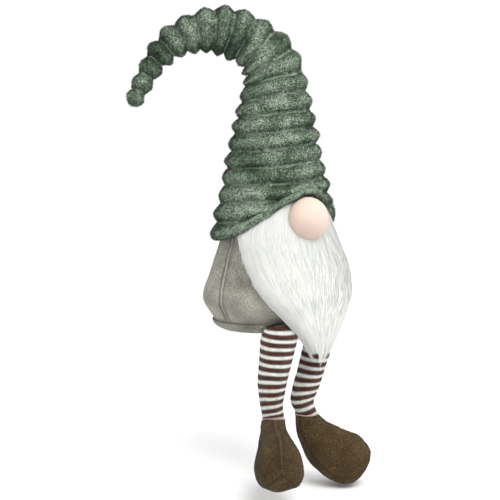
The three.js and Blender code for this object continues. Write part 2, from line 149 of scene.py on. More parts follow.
def stack(*values):
    """Vectors from arrays of their coordinates, which may be rows, columns or single numbers."""
    return np.stack(np.broadcast_arrays(*values), -1)


def around(count):
    """Angles of count places round a full turn."""
    return np.linspace(0, 2 * np.pi, count, endpoint=False)


def bell(x, width):
    """Bell curve: 1 where x is 0, and close to 0 beyond two widths."""
    return np.exp(-((x / width) ** 2))


def unit(vectors):
    """The vectors at length one."""
    return vectors / np.maximum(np.linalg.norm(vectors, axis=-1, keepdims=True), 1e-9)


# %% [markdown]
# ## Grids, pile and meshes
#
# A *part* here is a plain dictionary: points, their normals, faces, and a few values that the
# materials read. `rest` is where a point lies when the gnome is at rest, so that a pattern stays on the
# cloth when the cloth bends. `tone` is a small light or dark shift: partly the cloth's own patches,
# and partly painted highlight, painted shade and painted bounce light. `crease` says how deep in a
# seam or fold a point is; the materials paint shade there, and pile is shorter there. Parts are joined
# and turned into a mesh once, at the end.
#
# Pile is made of real blades, one small triangle each. Bump alone can't soften an outline, and it is
# the soft outline that tells plush from paint. The blades borrow the normal of the cloth under them,
# so they are lit as a surface and not as a heap of splinters.

# %% Grid and pile parts
def grid_normals(points, closed):
    """Normals of a grid of points [row, column], pointing out for a right-handed grid."""
    if closed:
        across = np.roll(points, -1, axis=1) - np.roll(points, 1, axis=1)
    else:
        across = np.gradient(points, axis=1)
    return unit(np.cross(across, np.gradient(points, axis=0)))


def grid_faces(rows, columns, closed):
    """Corner numbers of the quads of a grid."""
    row = np.arange(rows - 1)[:, None]
    column = np.arange(columns if closed else columns - 1)[None, :]
    after = (column + 1) % columns
    corners = [row * columns + column, row * columns + after]
    corners += [(row + 1) * columns + after, (row + 1) * columns + column]
    return stack(*corners).reshape(-1, 4)


def grid_part(points, closed, crease=0.0, tone=0.0, flip=False):
    """Surface through a grid of points. closed joins its last column to its first."""
    rows, columns = points.shape[:2]
    normals = grid_normals(points, closed) * (-1 if flip else 1)
    faces = grid_faces(rows, columns, closed)
    return {
        "points": points.reshape(-1, 3),
        "normals": normals.reshape(-1, 3),
        "quads": faces[:, ::-1] if flip else faces,
        "tris": np.zeros((0, 3), int),
        "tone": np.broadcast_to(tone, (rows, columns)).astype(float).ravel(),
        "crease": np.broadcast_to(crease, (rows, columns)).astype(float).ravel(),
    }


def raised(points, closed, relief, flip=False):
    """The grid moved along its own normals by relief."""
    side = -1 if flip else 1
    return points + side * grid_normals(points, closed) * relief[..., None]


def scattered(part, count, seed):
    """Random places on a part's quads, evenly by area: points, normals, creases and tones."""
    random = np.random.default_rng(seed)
    a, b, c, d = part["points"][part["quads"]].transpose(1, 0, 2)
    area = np.linalg.norm(np.cross(c - a, d - b), axis=1)
    chosen = part["quads"][random.choice(len(area), count, p=area / area.sum())]
    u, v = random.random((2, count))
    weights = [(1 - u) * (1 - v), u * (1 - v), u * v, (1 - u) * v]

    def between(values):
        return sum((w * values[chosen[:, k]].T).T for k, w in enumerate(weights))

    places, normals = between(part["points"]), between(part["normals"])
    return places, unit(normals), between(part["crease"]), between(part["tone"])


BRUSH_MARK = 24


def pile_part(part, count, length, width, seed, comb=(0, 0, -1), lean=0.7, swirl=1.0, tone=0.12):
    """Blades of pile on a part: one triangle each, leaning the way the cloth was brushed."""
    random = np.random.default_rng(seed)
    places, normals, creases, tones = scattered(part, count, seed)
    stroke = stack(*[ripple(places, BRUSH_MARK, seed + k) for k in range(3)])
    way = np.array(comb, float) + swirl * stroke + 0.35 * random.normal(size=places.shape)
    way -= normals * np.sum(way * normals, axis=1, keepdims=True)
    way = unit(normals + lean * unit(way))
    side = unit(np.cross(way, random.normal(size=places.shape)))
    reach = (length * random.uniform(0.7, 1.15, count) * (1 - 0.5 * creases))[:, None]
    half = 0.5 * width * random.uniform(0.7, 1.3, (count, 1))
    foot = places - 0.2 * normals
    points = np.stack([foot - side * half, foot + side * half, places + way * reach], 1)
    shown = unit(normals + 0.55 * way + 0.25 * side * random.normal(size=(count, 1)))
    return {
        "points": points.reshape(-1, 3),
        "normals": np.repeat(shown, 3, axis=0),
        "quads": np.zeros((0, 4), int),
        "tris": np.arange(3 * count).reshape(-1, 3),
        "tone": np.repeat(tones + tone * random.normal(size=count), 3),
        "crease": np.repeat(creases, 3),
    }


# %% Turning parts into one mesh object
def join(parts):
    """One part from several."""
    offsets = np.cumsum([0] + [len(part["points"]) for part in parts[:-1]])
    joined = {key: np.concatenate([part[key] for part in parts]) for key in parts[0]}
    for key in ("quads", "tris"):
        joined[key] = np.concatenate([part[key] + at for part, at in zip(parts, offsets)])
    return joined


def make_object(name, part, material):
    """Mesh object from a part in millimetres, with the values its material reads."""
    mesh = bpy.data.meshes.new(name)
    points = part["points"] * MM
    faces = [*part["quads"].tolist(), *part["tris"].tolist()]
    mesh.from_pydata(points.tolist(), [], faces)
    mesh.attributes.new("rest", "FLOAT_VECTOR", "POINT").data.foreach_set("vector", points.ravel())
    for key in ("tone", "crease"):
        mesh.attributes.new(key, "FLOAT", "POINT").data.foreach_set("value", part[key])
    if "uv" in part:
        mesh.uv_layers.new(name="knit").data.foreach_set("uv", part["uv"].ravel())
    mesh.shade_smooth()
    mesh.normals_split_custom_set_from_vertices(part["normals"].tolist())
    mesh.materials.append(material)
    item = bpy.data.objects.new(name, mesh)
    scene.collection.objects.link(item)
    size = np.ptp(part["points"], axis=0)
    print(f"{name}: {len(faces)} faces, {size[0]:.0f} x {size[1]:.0f} x {size[2]:.0f} mm")
    return item


# %% [markdown]
# ## Shader node groups
#
# Three effects turn up in more than one finish, so each is a node group that is built once:
#
# - **brushed cloth** mixes three shades, as a nap looks where it lies one way or the other. It is noise
#   on two scales, plus the tone of each blade, and it darkens in creases where light doesn't reach.
# - **fibre grain** is a fine height for a Bump node: short tangled fibres.
# - **knit loops** gives the height of plain knitting from a map that counts loops.

# %% Node helpers
def new_group(name, inputs, outputs):
    """Empty node group with typed sockets, and its input and output nodes."""
    group = bpy.data.node_groups.new(name, "ShaderNodeTree")
    for label, kind, value in inputs:
        socket = group.interface.new_socket(name=label, in_out="INPUT", socket_type=kind)
        if value is not None:
            socket.default_value = value
    for label, kind in outputs:
        group.interface.new_socket(name=label, in_out="OUTPUT", socket_type=kind)
    start = group.nodes.new("NodeGroupInput")
    end = group.nodes.new("NodeGroupOutput")
    return group, start, end


def node(tree, kind, settings=(), **inputs):
    """Adds a node. Inputs go by name, or by number as i0, i1; each is a socket to link or a value."""
    made = tree.nodes.new(kind)
    for key, value in dict(settings).items():
        setattr(made, key, value)
    for key, value in inputs.items():
        socket = made.inputs[int(key[1:]) if key[0] == "i" and key[1:].isdigit() else key]
        if isinstance(value, bpy.types.NodeSocket):
            tree.links.new(value, socket)
        else:
            socket.default_value = value
    return made


def maths(tree, operation, *values):
    """Result of one sum on sockets or numbers."""
    numbered = {f"i{k}": value for k, value in enumerate(values)}
    return node(tree, "ShaderNodeMath", {"operation": operation}, **numbered).outputs[0]


def mix_colours(tree, factor, a, b):
    """Colour a where factor is 0 and b where it is 1."""
    made = node(tree, "ShaderNodeMix", {"data_type": "RGBA"}, i0=factor, i6=a, i7=b)
    return made.outputs[2]


def noise(tree, vector, scale, detail=3.0, roughness=0.55):
    """Cloudy noise from 0 to 1 with scale clouds to a metre."""
    settings = {"Scale": scale, "Detail": detail, "Roughness": roughness}
    return node(tree, "ShaderNodeTexNoise", Vector=vector, **settings).outputs["Fac"]


FLOAT, COLOUR, VECTOR = "NodeSocketFloat", "NodeSocketColor", "NodeSocketVector"


# %% Group: brushed cloth
brushed_cloth, start, end = new_group(
    "brushed cloth",
    [
        ("Place", VECTOR, None),
        ("Tone", FLOAT, 0.0),
        ("Crease", FLOAT, 0.0),
        ("Dark", COLOUR, (0.1, 0.1, 0.1, 1)),
        ("Middle", COLOUR, (0.3, 0.3, 0.3, 1)),
        ("Light", COLOUR, (0.6, 0.6, 0.6, 1)),
        ("Patches", FLOAT, 60.0),
        ("Streaks", FLOAT, 400.0),
        ("Contrast", FLOAT, 1.0),
        ("Speckle", FLOAT, 1.0),
        ("Depth", FLOAT, 0.6),
    ],
    [("Color", COLOUR)],
)
g = brushed_cloth
inputs = start.outputs
wide = noise(g, inputs["Place"], inputs["Patches"], 2.0, 0.5)
fine = noise(g, inputs["Place"], inputs["Streaks"], 1.0, 0.5)
wide_shift = maths(g, "MULTIPLY", maths(g, "SUBTRACT", wide, 0.5), inputs["Contrast"])
speckle = maths(g, "MULTIPLY", maths(g, "SUBTRACT", fine, 0.5), inputs["Speckle"])
speckle = maths(g, "MULTIPLY", speckle, maths(g, "MULTIPLY_ADD", wide, 2.4, -0.2))
shade = maths(g, "ADD", maths(g, "ADD", maths(g, "ADD", wide_shift, speckle), 0.5), inputs["Tone"])
lower = node(g, "ShaderNodeMapRange", i0=shade, i1=0.2, i2=0.5).outputs[0]
upper = node(g, "ShaderNodeMapRange", i0=shade, i1=0.5, i2=0.8).outputs[0]
blended = mix_colours(g, upper, mix_colours(g, lower, inputs["Dark"], inputs["Middle"]), inputs["Light"])
depth = maths(g, "MULTIPLY", inputs["Crease"], inputs["Depth"])
g.links.new(mix_colours(g, depth, blended, inputs["Dark"]), end.inputs["Color"])

# %% Group: fibre grain
fibre_grain, start, end = new_group(
    "fibre grain",
    [("Place", VECTOR, None), ("Scale", FLOAT, 900.0)],
    [("Height", FLOAT)],
)
g = fibre_grain
inputs = start.outputs
coarse = noise(g, inputs["Place"], inputs["Scale"], 5.0, 0.75)
to_edge = {"feature": "DISTANCE_TO_EDGE"}
cells = node(g, "ShaderNodeTexVoronoi", to_edge, Vector=inputs["Place"], Scale=inputs["Scale"])
hairs = maths(g, "MULTIPLY", cells.outputs["Distance"], 0.5)
g.links.new(maths(g, "ADD", coarse, hairs), end.inputs["Height"])

# %% Group: knit loops
LOOP_SLANT = 2.4

knit_loops, start, end = new_group(
    "knit loops",
    [("Map", VECTOR, None)],
    [("Height", FLOAT), ("Course", FLOAT)],
)
g = knit_loops
axes = node(g, "ShaderNodeSeparateXYZ", Vector=start.outputs["Map"]).outputs
from_middle = maths(g, "ABSOLUTE", maths(g, "SUBTRACT", maths(g, "FRACT", axes[0]), 0.5))
slanted = maths(g, "ADD", axes[1], maths(g, "MULTIPLY", from_middle, LOOP_SLANT))
yarn = maths(g, "SINE", maths(g, "MULTIPLY", from_middle, 2 * math.pi))
swell = maths(g, "SINE", maths(g, "MULTIPLY", maths(g, "FRACT", slanted), math.pi))
g.links.new(maths(g, "MULTIPLY", yarn, swell), end.inputs["Height"])
g.links.new(slanted, end.inputs["Course"])
print("node groups:", [group.name for group in bpy.data.node_groups])

# %% [markdown]
# ## Materials
#
# Cloth has no clear highlight. Its fibres catch light at the rim, which is what the sheen of the
# Principled BSDF is for, and its roughness is near one. What tells the cloths apart is the scale of
# their pattern: plush is brushed in soft patches, felt is speckled, fleece is close and dark, and the
# fur is off-white with faint cool shadows between its locks.

# %% Material helpers
def srgb(red, green, blue):
    """Linear colour from the red, green and blue of a paint chart, 0 to 255."""
    values = np.array([red, green, blue]) / 255
    linear = np.where(values <= 0.04045, values / 12.92, ((values + 0.055) / 1.055) ** 2.4)
    return (*linear.tolist(), 1.0)


def new_material(name, roughness=1.0, sheen=0.0, sheen_roughness=0.5):
    """Material with a Principled BSDF whose plain numbers are set on its own sockets."""
    material = bpy.data.materials.new(name)
    material.use_nodes = True
    shader = material.node_tree.nodes["Principled BSDF"]
    shader.inputs["Roughness"].default_value = roughness
    shader.inputs["Specular IOR Level"].default_value = 0.2
    shader.inputs["Sheen Weight"].default_value = sheen
    shader.inputs["Sheen Roughness"].default_value = sheen_roughness
    return material, material.node_tree, shader


def attribute(tree, name, output):
    """A value that the mesh carries at its points."""
    return node(tree, "ShaderNodeAttribute", {"attribute_name": name}).outputs[output]


def brushed(tree, place, shades, **look):
    """Colour from the brushed cloth group, with three shades and a look."""
    dark, middle, light = (srgb(*shade) for shade in shades)
    settings = {"Dark": dark, "Middle": middle, "Light": light, **look}
    group = node(tree, "ShaderNodeGroup", {"node_tree": brushed_cloth}, Place=place, **settings)
    return group.outputs["Color"]


def coloured(tree, shader, colour):
    """Gives the shader its colour."""
    tree.links.new(colour, shader.inputs["Base Color"])


def bumped(tree, shader, height, distance):
    """Gives the shader a relief of the given depth in metres."""
    bump = node(tree, "ShaderNodeBump", Height=height, Distance=distance, Strength=1.0)
    tree.links.new(bump.outputs["Normal"], shader.inputs["Normal"])


def grained(tree, shader, place, scale, distance):
    """Gives the shader the fibre grain group for its relief."""
    group = node(tree, "ShaderNodeGroup", {"node_tree": fibre_grain}, Place=place, Scale=scale)
    bumped(tree, shader, group.outputs["Height"], distance)


def cloth_material(name, shades, look, grain, bump, **finish):
    """Cloth whose colour and surface lie where the cloth lies at rest."""
    material, tree, shader = new_material(name, **finish)
    place = attribute(tree, "rest", "Vector")
    carried = {"Tone": attribute(tree, "tone", "Fac"), "Crease": attribute(tree, "crease", "Fac")}
    coloured(tree, shader, brushed(tree, place, shades, **carried, **look))
    grained(tree, shader, place, grain, bump)
    return material


# %% Plush, felt, fleece and fur
plush = cloth_material(
    "hat plush",
    [(52, 70, 53), (98, 118, 95), (160, 175, 157)],
    {"Patches": 24.0, "Streaks": 760.0, "Contrast": 1.5, "Speckle": 2.9, "Depth": 0.7},
    grain=900.0, bump=0.0008, sheen=0.08, sheen_roughness=0.45,
)
felt = cloth_material(
    "body felt",
    [(94, 93, 85), (128, 127, 117), (156, 154, 143)],
    {"Patches": 45.0, "Streaks": 640.0, "Contrast": 0.9, "Speckle": 1.3, "Depth": 0.8},
    grain=1100.0, bump=0.0005, sheen=0.15,
)
fleece = cloth_material(
    "boot fleece",
    [(36, 27, 15), (67, 52, 31), (98, 81, 54)],
    {"Patches": 40.0, "Streaks": 760.0, "Contrast": 0.4, "Speckle": 1.2, "Depth": 0.5},
    grain=600.0, bump=0.0010, sheen=0.04,
)
fur = cloth_material(
    "beard fur",
    [(200, 205, 208), (219, 220, 215), (230, 230, 225)],
    {"Patches": 60.0, "Streaks": 300.0, "Contrast": 0.3, "Speckle": 0.1, "Depth": 0.6},
    grain=900.0, bump=0.0002, sheen=0.1,
)
print("cloths:", [cloth.name for cloth in (plush, felt, fleece, fur)])

# %% [markdown]
# The stocking is plain knitting in stripes that repeat every six courses, a little more brown than
# cream. Its map counts loops round and courses along, so a colour change follows the bottoms of the
# loops and looks serrated, as it does in real knitting. The nose is finer knitting in one colour, with
# a faint blush, and its gathered back, against the body, is painted darker as shade.

# %% Striped stocking and nose jersey
STRIPE_PAIR = 6.0
BROWN_COURSES = 3.6

CREAM_SHADES = [(178, 178, 172), (226, 227, 222), (243, 243, 240)]
BROWN_SHADES = [(34, 17, 11), (64, 34, 22), (92, 56, 38)]


def knitted(tree, shader, distance):
    """Gives the shader loops of knitting as relief, and returns the count of courses."""
    knit_map = node(tree, "ShaderNodeUVMap", {"uv_map": "knit"}).outputs[0]
    loops = node(tree, "ShaderNodeGroup", {"node_tree": knit_loops}, Map=knit_map)
    bumped(tree, shader, loops.outputs["Height"], distance)
    return loops.outputs["Course"]


striped_knit, tree, shader = new_material("striped knit", sheen=0.15)
band = maths(tree, "FLOORED_MODULO", knitted(tree, shader, 0.0005), STRIPE_PAIR)
is_brown = maths(tree, "LESS_THAN", band, BROWN_COURSES)
place = attribute(tree, "rest", "Vector")
yarns = [
    brushed(tree, place, shades, Patches=250.0, Streaks=900.0, Contrast=0.9)
    for shades in (CREAM_SHADES, BROWN_SHADES)
]
coloured(tree, shader, mix_colours(tree, is_brown, *yarns))

jersey, tree, shader = new_material("nose jersey", roughness=0.85, sheen=0.1)
place = attribute(tree, "rest", "Vector")
# The nose's own blush, painted darker at its gathered back as shade through the crease value.
blush_and_shade = brushed(
    tree,
    place,
    [(188, 166, 148), (212, 191, 178), (220, 196, 186)],
    Crease=attribute(tree, "crease", "Fac"),
    Depth=0.6,
    Patches=22.0,
    Streaks=700.0,
    Contrast=0.7,
    Speckle=0.15,
)
coloured(tree, shader, blush_and_shade)
knitted(tree, shader, 0.0001)
print("knitted:", striped_knit.name, "and", jersey.name)

# %% [markdown]
# ## The felt body
#
# Two felt panels meet in a seam up each side, and a round base panel closes the sack. Where felt is
# sewn, the stitches pull the surface in, the two cut edges stand up as a thin ridge, and the cloth
# beside them puckers. All three are a matter of distance from the seam, so they are one relief that
# is added along the normals of a plain egg-like form. A cloth simulation would find such a form too.
# A formula is quicker, and it keeps the seams exactly where they are sewn.

# %% The sack's form
BODY = {
    "seat ratio": 0.83,
    "neck ratio": 0.97,
    "lean": 0.075,
    "seam height": 12,
    "seam forward": math.radians(9),
    "wall": [(74.5, 12), (88, 36), (81, 66), (70.5, 98), (61, 124), (47, 150), (28, 170), (6, 177)],
    "base": [(0, 0), (30, 0), (56, 0.2), (66, 3), (72, 7.5), (74.5, 12)],
    "under hat": 0.93,
    "felt": 2,
    # painted bounce light: how much lighter the felt is painted low on the sack and on the base
    "painted bounce": 0.2,
}


def body_oval(height):
    """Depth of the sack from front to back as a share of its width."""
    return BODY["seat ratio"] + (BODY["neck ratio"] - BODY["seat ratio"]) * smooth(height, 20, 100)


def body_point(angle, radius, height):
    """Point on an oval ring of the leaning sack."""
    x = radius * np.cos(angle)
    y = radius * body_oval(height) * np.sin(angle) - BODY["lean"] * height
    return stack(x, y, height)


def seam_relief(distance, along, seed, pull=1.6, ridge=2.4, pucker=0.6):
    """Height of cloth beside a sewn seam, by its distance from the seam and its place along it."""
    wave = np.sin(2 * np.pi * along / 8.5 + 2 * ripple(along[..., None], 60, seed))
    puckers = pucker * wave * np.exp(-distance / 7) * (1 - np.exp(-distance / 2))
    return -pull * bell(distance, 4) + ridge * bell(distance, 1.2) + puckers


def seam_crease(distance):
    """Share of painted shade: 1 in the dips beside a seam's ridge, falling to 0 away from it."""
    return bell(distance - 3.0, 1.5)


def crowded(count, power=1.6):
    """Shares from 0 to 1 that lie closer together near both ends."""
    t = np.linspace(-1, 1, count)
    return 0.5 + 0.5 * np.sign(t) * (1 - (1 - np.abs(t)) ** power)


def felt_shell(points, closed, relief, crease, tone, flip):
    """Both faces of a panel of felt."""
    outer = raised(points, closed, relief, flip)
    inner = raised(points, closed, relief - BODY["felt"], flip)
    return join([
        grid_part(outer, closed, crease, tone, flip),
        grid_part(inner, closed, flip=not flip),
    ])


def body_panel(facing, seed):
    """Front (facing -1) or back (facing 1) felt panel between the side seams."""
    across = crowded(120)[None, :]
    wall = spline(BODY["wall"], np.linspace(0, BODY["under hat"], 110)[:, None])
    radius, height = wall[..., 0], wall[..., 1]
    forward = BODY["seam forward"] * (1 - smooth(height, 20, 120))
    sweep = np.pi + 2 * facing * forward
    angle = facing * sweep * across - forward
    points = body_point(angle, radius, height)
    side = radius * sweep * np.minimum(across, 1 - across)
    low = height - BODY["seam height"] + 0 * angle
    relief = seam_relief(side, points[..., 2], seed)
    relief += 0.9 * ripple(points, 46, seed + 2) + 0.35 * ripple(points, 17, seed + 3)
    relief *= smooth(low, -1, 7)
    low_relief = seam_relief(low, radius * angle, seed + 1, pull=1.0, ridge=0.0, pucker=0.6)
    relief += smooth(low, 0, 3) * low_relief
    # crease paints shade in the dips beside the side seams and along the base seam
    crease = np.maximum(0.9 * seam_crease(side), 0.4 * bell(low, 1.6))
    # tone paints a highlight along the side seam ridges, and bounce light low on the sack
    tone = 0.4 * bell(side, 1.3) + BODY["painted bounce"] * (1 - smooth(low, 5, 60))
    return felt_shell(points, False, relief, crease, tone, facing < 0)


def base_panel(seed):
    """Dish-shaped base panel with the flat seat."""
    angle = around(180)[None, :]
    profile = spline(BODY["base"], np.linspace(0.004, 1, 60)[:, None])
    radius, height = profile[..., 0], profile[..., 1]
    points = body_point(angle, radius, height)
    edge = (BODY["base"][-1][0] - radius) * 1.4 + 0 * angle
    relief = seam_relief(edge, radius * angle, seed, pull=1.0, ridge=0.0, pucker=0.4)
    relief *= smooth(radius, 56, 70) * smooth(edge, 0, 3)
    # The base is painted darker along its seam as shade, and lighter all over as bounce light from the
    # floor.
    return felt_shell(points, True, relief, 0.4 * bell(edge, 1.6), BODY["painted bounce"], True)


# %% Sew the sack
def place_piece(item, bodies, slot, *nodes, fill=None, bend=None):
    """Rides a piece on a body, or only bakes its place when a bend is given, and hides the CAD nodes it
    stands for. The slot is not used.
    """
    if bend:
        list(bodies)
        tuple(bend[0])
        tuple(bend[1])
        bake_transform(item)
    else:
        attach(item, bodies)
    if nodes:
        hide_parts(*nodes)


def add_nap(part, count, length, width, seed, **brush):
    """A part with its pile."""
    return join([part, pile_part(part, count, length, width, seed, **brush)])


for label, facing, seed in (("front", -1, 10), ("back", 1, 20)):
    panel = add_nap(body_panel(facing, seed), 14000, 1.1, 0.3, seed + 5, lean=1.5, tone=0.16)
    panel = make_object(f"body_{label}_felt", panel, felt)
    place_piece(panel, "body", "body_felt", f"body_{label}_panel", fill=0.85)
base = make_object("body_base_felt", base_panel(30), felt)
place_piece(base, "body", "body_felt", "body_base_panel", fill=0.85)

# %% [markdown]
# ## The hat
#
# The hat is a long cone of plush gathered into ribs, like a pleated hose, and a wire down its middle
# holds the curl. So its form is a centreline, an upright stretch and two arcs, and rings across it.
# A ring's radius swells to a crest and shrinks to a sharp valley once per rib. A pale line is painted
# along each valley as highlight, with a band of painted shade beside it. No two ribs are alike: they
# wander and change in depth, which noise gives.
#
# One tube would be enough at rest. It is made as three lengths because a length can bend across only
# one joint. They meet in valleys between ribs, where the pile hides the join.

# %% The hat's centreline
HAT = {
    "foot": 100,
    "straight": 204,
    "bends": [(50, math.radians(45)), (85, math.radians(107))],
    "compass": math.radians(146),
    "pitch": 20.8,
    "first rib": 49.5,
    "ribs": 20,
    "rib depth": 6.5,
    "taper": [(0, 79), (47, 73.5), (214, 38), (250, 33), (297, 30), (380, 17), (443, 11), (460, 5)],
    "tilt": 5.5,
    "extra tilt": 7,
    "tip round": 7,
}
curl_way = np.array([math.cos(HAT["compass"]), math.sin(HAT["compass"]), 0])
curl_side = np.array([curl_way[1], -curl_way[0], 0])
hat_foot = np.array([0, -BODY["lean"] * HAT["foot"], HAT["foot"]])


def valley(rib):
    """Distance along the hat to the valley before a rib."""
    return HAT["first rib"] + (rib - 0.5) * HAT["pitch"]


def crest(rib):
    """Distance along the hat to the crest of a rib."""
    return HAT["first rib"] + rib * HAT["pitch"]


hat_end = valley(HAT["ribs"]) - 1


def hat_line(s):
    """Distance across, height and heading of the hat's centreline at the distances s."""
    s = np.asarray(s, float)
    up = np.minimum(s, HAT["straight"])
    across = np.zeros_like(s)
    heading = np.zeros_like(s)
    left = s - up
    for radius, angle in HAT["bends"]:
        turn = np.minimum(left / radius, angle)
        across = across + radius * (np.cos(heading) - np.cos(heading + turn))
        up = up + radius * (np.sin(heading + turn) - np.sin(heading))
        heading = heading + turn
        left = left - turn * radius
    return across + left * np.sin(heading), up + left * np.cos(heading), heading


def hat_point(x, y, s):
    """Point of the hat at distance s, at (x, y) across its ring, with y towards the curl."""
    across, up, heading = hat_line(s)
    own = HAT["tilt"] + HAT["extra tilt"] * smooth(s, 140, HAT["straight"])
    tilt = heading + np.radians(own * (1 - smooth(s, HAT["straight"], HAT["straight"] + 36)))
    along = (across + y * np.cos(tilt))[..., None] * curl_way
    aside = np.asarray(x)[..., None] * curl_side
    rise = (up - y * np.sin(tilt))[..., None] * UP
    return hat_foot + along + aside + rise


print(f"the hat is {hat_end:.0f} mm long along its wire")

# %% Ribs, hem line and the three lengths of plush
HEM = {
    "height": 123.5,
    "rise": 55,
    "sharpness": 3.7,
    "roll radius": 71.5,
    "draw in": 0.12,
    "drop": 8,
    "half width": 6.2,
    "half height": 6.6,
    "thinning": 0.035,
}


def hem_height(angle):
    """Height of the hem at a plan angle: level behind, arched over the nose."""
    return HEM["height"] + HEM["rise"] * (0.5 - 0.5 * np.sin(angle)) ** HEM["sharpness"]


def rib_shape(s, angle):
    """Share of the rib depth at distance s, from 0 in a valley to 1 on a crest, with its wander."""
    spot = stack(30 * np.cos(angle), 30 * np.sin(angle), s)
    wander = 1.5 * ripple(spot, 55, 41)
    share = np.mod((s + wander - valley(0)) / HAT["pitch"], 1)
    ridge = 1.155 - 1.132 * np.sqrt((2 * share - 1) ** 2 + 0.035)
    shape = 0.75 * ridge + 0.25 * np.sin(np.pi * share)
    return shape, 1 + 0.14 * ripple(spot, 34, 42)


def hat_ring(s, angle):
    """Points, creases and tones of the plush at distances s and ring angles."""
    size = graph(HAT["taper"], s)
    depth = np.minimum(HAT["rib depth"], 0.38 * size)
    shape, plumpness = rib_shape(s, angle)
    radius = size - depth + depth * shape * plumpness
    tail = np.clip((s - (hat_end - HAT["tip round"])) / HAT["tip round"], 0, 1)
    radius = radius * np.sqrt(np.maximum(1 - tail**2, 0.0004))
    points = hat_point(radius * np.cos(angle), radius * np.sin(angle), s)
    outward = unit(points - hat_point(0 * radius, 0 * radius, s))
    points = points + outward * (0.5 * ripple(points, 14, 43))[..., None]
    # crease paints a little shade into the valleys
    crease = 0.12 * (1 - shape) ** 2
    # tone paints a pale highlight line along each valley and a band of shade on the flanks beside it; it
    # is also darker towards the tip
    tone = 0.9 * bell(shape, 0.1) - 0.16 * bell(shape - 0.35, 0.2)
    return points, crease, tone - 0.14 * smooth(s, 250, 340)


def hat_length(start, end, rows, columns):
    """Length of plush tube between two distances. start may differ from column to column."""
    angle = around(columns)[None, :]
    share = np.linspace(0, 1, rows)[:, None]
    points, crease, tone = hat_ring(start + (end - start) * share + 0 * angle, angle)
    return grid_part(points, True, crease, tone)


def hem_start(columns):
    """Distance at which each column of the crown reaches the hem's line, found by halving."""
    angle = around(columns)[None, :]
    low, high = np.full((1, columns), -10.0), np.full((1, columns), 120.0)
    for _ in range(24):
        middle = (low + high) / 2
        size = graph(HAT["taper"], middle) - 3
        points = hat_point(size * np.cos(angle), size * np.sin(angle), middle)
        plan = np.arctan2(points[..., 1] - hat_foot[1], points[..., 0])
        below = points[..., 2] < hem_height(plan) - 0.6 * HEM["drop"]
        low, high = np.where(below, middle, low), np.where(below, high, middle)
    return middle


CROWN_COLUMNS = 240
HINGE_RIBS = [8, 12, 16]
BEND_REACH = 14
joins = [valley(11), valley(15)]
lengths = {
    "crown": hat_length(hem_start(CROWN_COLUMNS), joins[0], 230, CROWN_COLUMNS),
    "curl": hat_length(joins[0], joins[1], 90, 180),
    "tip": hat_length(joins[1], hat_end, 130, 120),
}
pile_counts = {"crown": 60000, "curl": 16000, "tip": 10000}
stands_for = {
    "crown": ("hat_crown_cover", "hat_bend_rib_1", "hat_bend_wadding_1", "hat_lower_cover"),
    "curl": ("hat_bend_rib_2", "hat_bend_wadding_2", "hat_middle_cover"),
    "tip": ("hat_bend_rib_3", "hat_bend_wadding_3", "hat_tip_cover"),
}
chain = ["body", "hat_lower", "hat_middle", "hat_tip"]
for i, (label, part) in enumerate(lengths.items()):
    part = add_nap(part, pile_counts[label], 3.0, 0.55, 50 + i, lean=0.9, swirl=1.2)
    item = make_object(f"hat_{label}_plush", part, plush)
    ends = crest(HINGE_RIBS[i]) + np.array([-BEND_REACH, BEND_REACH])
    bend = (hat_point(np.zeros(2), np.zeros(2), ends) * MM).tolist()
    place_piece(item, chain[i : i + 2], "hat_plush", *stands_for[label], fill=0.7, bend=bend)

# %% [markdown]
# ## The rolled hem
#
# The lower edge of the plush is turned up and rolled, higher in front to clear the nose. It is a
# sausage of cloth that is bent round the hat: thick behind and at the sides, thin over the nose, and
# lumpy, because nothing but its own stiffness keeps it rolled. A curve with a bevel would make a tube
# of one thickness, so it is a grid whose rings change along the way.

# %% Roll the hem
def hem_roll():
    """Lumpy roll of plush all round the hem."""
    angle = around(300)[:, None]
    turn = around(28)[None, :]
    rise = hem_height(angle) - HEM["height"]
    radius = HEM["roll radius"] - HEM["draw in"] * rise
    spot = stack(60 * np.cos(angle), 60 * np.sin(angle), 5 * np.cos(turn), 5 * np.sin(turn))
    lumps = 1 + 0.13 * ripple(spot, 26, 61) + 0.06 * ripple(spot, 9, 62)
    wide = HEM["half width"] * lumps
    tall = (HEM["half height"] - HEM["thinning"] * rise) * lumps
    out = radius + wide * np.cos(turn)
    sag = 1.2 * ripple(spot[..., :2], 48, 63)
    height = hem_height(angle) - HEM["drop"] + tall * np.sin(turn) + sag
    points = stack(out * np.cos(angle), out * np.sin(angle) + hat_foot[1], height)
    # crease paints shade on the upper inner side of the roll, where it tucks against the hat
    crease = smooth(np.sin(turn) - np.cos(turn), 0.7, 1.4)
    return grid_part(points, True, crease, 0.1, flip=True)


roll = add_nap(hem_roll(), 16000, 2.8, 0.55, 65, lean=0.7, swirl=1.6)
roll = make_object("hat_rolled_hem", roll, plush)
place_piece(roll, "body", "hat_plush", "hat_hem_roll", fill=0.6)

# %% [markdown]
# ## The nose
#
# A circle of jersey gathered round wadding: nearly a ball, a little taller than wide, and flat at the
# back where it is sewn on. The gathers fade out towards the front, where the cloth is tight. A plain
# sphere would do for the front, but a grid with its rows round the line of sight can hold the gathers.

# %% Stuff the nose
NOSE = {"centre": (-5.5, -77.5, 138), "half width": 25, "half height": 26.2, "flat back": 17}
NOSE_LOOP = 0.9


def loop_map(across, down, flip=False):
    """Knit map of a closed grid, from the loops counted to each point, its first column twice."""
    corners = [(0, 0), (0, 1), (1, 1), (1, 0)]
    if flip:
        corners.reverse()
    counts = stack(across, down)
    rows, columns = counts.shape[0] - 1, counts.shape[1] - 1
    return np.stack([counts[a : a + rows, b : b + columns] for a, b in corners], 2)


